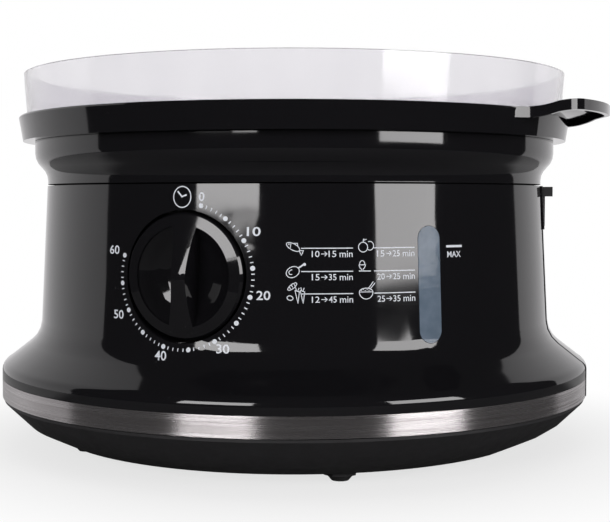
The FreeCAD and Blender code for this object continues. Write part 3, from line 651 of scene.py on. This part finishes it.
def roots_and_bean(signs, x):
    signs.ring(x - 1.1, 75.1, 2.0, 0.75, PEN, tilt=38)
    for k in (-1.0, 0.0, 1.0):
        signs.stroke([(x - 1.4 + k * 0.8, 75.6 + k * 0.6),
                      (x - 0.9 + k * 0.8, 74.8 + k * 0.6)], PEN)
    for dx in (0.6, 2.5):
        signs.stroke([(x + dx - 0.7, 73.6), (x + dx + 0.4, 68.9), (x + dx + 0.9, 73.2)], PEN,
                     closed=True)
        signs.stroke([(x + dx - 0.2, 73.6), (x + dx - 0.5, 74.8)], PEN)
        signs.stroke([(x + dx + 0.3, 73.5), (x + dx + 0.8, 74.6)], PEN)
    signs.ring(x - 1.9, 70.9, 1.1, 0.8, PEN, tilt=-15)


def two_fruits(signs, x):
    signs.ring(x - 1.2, 89.4, 1.75, 1.8, PEN)
    signs.ring(x + 1.4, 89.9, 1.5, 1.6, PEN, start=-120, sweep=235, sides=20)
    signs.stroke([(x - 1.2, 91.2), (x - 0.9, 92.5)], 0.4)
    signs.stroke([(x - 1.0, 91.9), (x + 0.2, 92.3)], PEN)


def egg_in_cup(signs, x):
    signs.ring(x - 1.6, 83.0, 1.0, 1.45, PEN, start=-5, sweep=190, sides=16)
    signs.stroke([(x - 2.9, 82.9), (x - 2.4, 81.7), (x - 1.9, 81.3), (x - 1.9, 80.9)], PEN)
    signs.stroke([(x - 0.3, 82.9), (x - 0.8, 81.7), (x - 1.3, 81.3), (x - 1.3, 80.9)], PEN)
    signs.stroke([(x - 2.9, 82.9), (x - 0.3, 82.9)], PEN)
    signs.stroke([(x - 2.9, 80.65), (x + 1.7, 80.6)], RULE)


def grain_bowl(signs, x):
    signs.ring(x - 0.2, 72.9, 2.6, 2.6, PEN, start=180, sweep=180, sides=18)
    signs.ring(x - 0.2, 72.9, 2.6, 1.4, PEN, sweep=180, sides=16)
    signs.stroke([(x - 2.8, 72.9), (x + 2.4, 72.9)], PEN)
    signs.stroke([(x + 0.7, 74.3), (x + 2.6, 76.7)], PEN)
    signs.stroke([(x + 1.3, 74.0), (x + 3.3, 76.2)], PEN)
    for k in range(6):
        signs.disc(x - 2.0 + 0.72 * k, 73.45 + 0.3 * (k % 2), 0.2, 8)


# Cooking chart: six lines, each with a plain food sign and a time. Beside it is the level mark.
def chart_print(wall, white):
    lines = Drawing()
    times = Drawing()
    for start, stop, words in CHART_COLUMNS:
        end = chart_x(stop)
        for z, row_words in zip(CHART_ROWS, words):
            lines.stroke([(chart_x(start), z), (end, z)], RULE)
            low = z - TIME_DROP
            for figures, back in zip(row_words, FIGURES):
                times.letters(figures, end - back, low, TIME_HIGH, FIGURES_WIDE, FIGURES_BOLD)
            times.letters("min", end - UNIT, low - UNIT_DROP, TIME_HIGH, UNIT_WIDE, UNIT_BOLD)
            tip = (end - ARROW_TIP, low)
            times.stroke([(end - ARROW_TAIL, low), tip], PEN)
            times.stroke([(end - ARROW_BARB, low + ARROW_HALF), tip,
                          (end - ARROW_BARB, low - ARROW_HALF)], PEN)
    lines.lay("chart_lines_print", wall.at_chart, white)
    times.lay("chart_times_print", wall.at_chart, white)

    signs = Drawing()
    left, right = [chart_x(azimuth) for azimuth in SIGN_COLUMNS]
    for draw in (fish, poultry_leg, roots_and_bean):
        draw(signs, left)
    for draw in (two_fruits, egg_in_cup, grain_bowl):
        draw(signs, right)
    signs.lay("chart_signs_print", wall.at_chart, white)

    mark = Drawing()
    mark.stroke([(chart_x(azimuth), MARK_Z) for azimuth in MARK_ENDS], MARK_WIDTH)
    mark.letters("MAX", chart_x(MARK_MIDDLE), MARK_WORD_Z, TIME_HIGH, MARK_WORD_WIDE,
                 MARK_WORD_BOLD)
    mark.lay("level_mark_print", wall.at_chart, white)


# Studio: white behind and beside the object, a dark front with three soft boxes, a lamp above
# that shows in no reflection, and a pale floor.
def world():
    made = bpy.data.worlds.new("studio")
    bpy.context.scene.world = made
    made.use_nodes = True
    made.node_tree.nodes.clear()
    s = Shader(made.node_tree)
    where = s.where("Generated")
    z = s.split(where)[2]
    lift = s.math("MAXIMUM", s.math("SUBTRACT", z, WALL_LEAN_FROM), 0.0)
    edge = s.math("ADD", s.ahead(where), s.math("MULTIPLY", lift, WALL_LEAN))
    panel = s.ramp(edge, WALL_SIDE, smooth=True)
    panel = s.math("MULTIPLY", panel, s.ramp(z, WALL_TOP, smooth=True))
    panel = s.math("MULTIPLY", panel, s.ramp(z, WALL_FOOT, smooth=True))
    panel = s.math("MULTIPLY", panel, s.ramp(z, WALL_FADE_SPAN, WALL_FADE))
    studio = s.node("ShaderNodeBackground")
    studio.inputs["Color"].default_value = WALL_TINT
    s.link(s.ramp(panel, (0, 1), WALL_LEVELS), studio.inputs["Strength"])
    white = s.node("ShaderNodeBackground")
    white.inputs["Color"].default_value = PLAIN_WHITE
    white.inputs["Strength"].default_value = 1.0
    seen = s.seen(s.node("ShaderNodeLightPath"))
    s.output("ShaderNodeOutputWorld", seen, studio, white)


def floor():
    mesh = bpy.data.meshes.new("floor")
    work = bmesh.new()
    bmesh.ops.create_circle(work, cap_ends=True, radius=FLOOR_R, segments=FLOOR_SIDES)
    work.to_mesh(mesh)
    work.free()
    obj = new_object("floor", mesh)
    obj.location = (0, 0, -FLOOR_DROP)
    mat = bpy.data.materials.new("mat_floor")
    mat.use_nodes = True
    mat.node_tree.nodes.clear()
    s = Shader(mat.node_tree)
    path = s.node("ShaderNodeLightPath")
    where = s.where()
    glossy = path.outputs["Is Glossy Ray"]
    mirrored = s.ramp(s.ahead(where), FLOOR_GLOSS_SPAN, FLOOR_GLOSS, smooth=True)
    level = s.math("ADD", s.math("MULTIPLY", glossy, mirrored),
                   s.math("MULTIPLY", s.math("SUBTRACT", 1.0, glossy), FLOOR_SHADE))
    shade = s.node("ShaderNodeCombineColor")
    for socket in shade.inputs[:3]:
        s.link(level, socket)
    plain = s.node("ShaderNodeBsdfDiffuse")
    s.link(shade.outputs[0], plain.inputs["Color"])
    glow = s.node("ShaderNodeEmission")
    glow.inputs["Strength"].default_value = 1.0
    far = s.node("ShaderNodeVectorMath", operation="LENGTH")
    s.link(where, far.inputs[0])
    share = s.ramp(far.outputs["Value"], FLOOR_WHITE_SPAN, FLOOR_WHITE, smooth=True)
    s.output("ShaderNodeOutputMaterial", s.math("MULTIPLY", s.seen(path), share), plain, glow)
    mesh.materials.append(mat)


def area_lamp(name, shape, place):
    data = bpy.data.lights.new(name, "AREA")
    data.shape = shape
    obj = new_object(name, data)
    obj.location = place
    obj.visible_camera = False
    return obj


def soft_box(name, left, right, low, high, level):
    half = math.radians((right - left) / 2)
    turn = math.radians(VIEW_AZIMUTH + (left + right) / 2)
    place = (STUDIO_R * math.sin(turn), -STUDIO_R * math.cos(turn), (low + high) / 2)
    obj = area_lamp(name, "RECTANGLE", place)
    obj.rotation_euler = (math.pi / 2, 0, turn)
    obj.data.size = 2 * STUDIO_R * math.tan(half)
    obj.data.size_y = high - low
    obj.data.energy = level * math.pi * obj.data.size * obj.data.size_y
    obj.data.color = BOX_TINT


def lights():
    for name, values in SOFT_BOXES.items():
        soft_box(name, *values)
    top = area_lamp("top", "SQUARE", (0, 0, TOP_HEIGHT))
    top.data.size = TOP_SIZE
    top.data.energy = TOP_ENERGY
    top.visible_glossy = False


camera()
world()
floor()
lights()
bpy.context.scene.view_settings.view_transform = "Standard"

MATS = materials()
RECORD = frame["record"]
BODY = {node: body for body, nodes in RECORD["behaviour"]["bodies"].items() for node in nodes}
SLOT = {part["node"]: part["material_slot"] for part in RECORD["subparts"]}
for node, obj in frame["nodes"].items():
    for holder in obj.material_slots:
        holder.material = MATS[SLOT[node]]
frame["nodes"]["water_tank"].material_slots[0].material = tank_black().material
for node in SMOOTH_NODES:
    piece = skin(node, BODY[node])

WALL = Wall("front_shell")
dial_print(WALL, MATS["print_white"])
chart_print(WALL, MATS["print_white"])
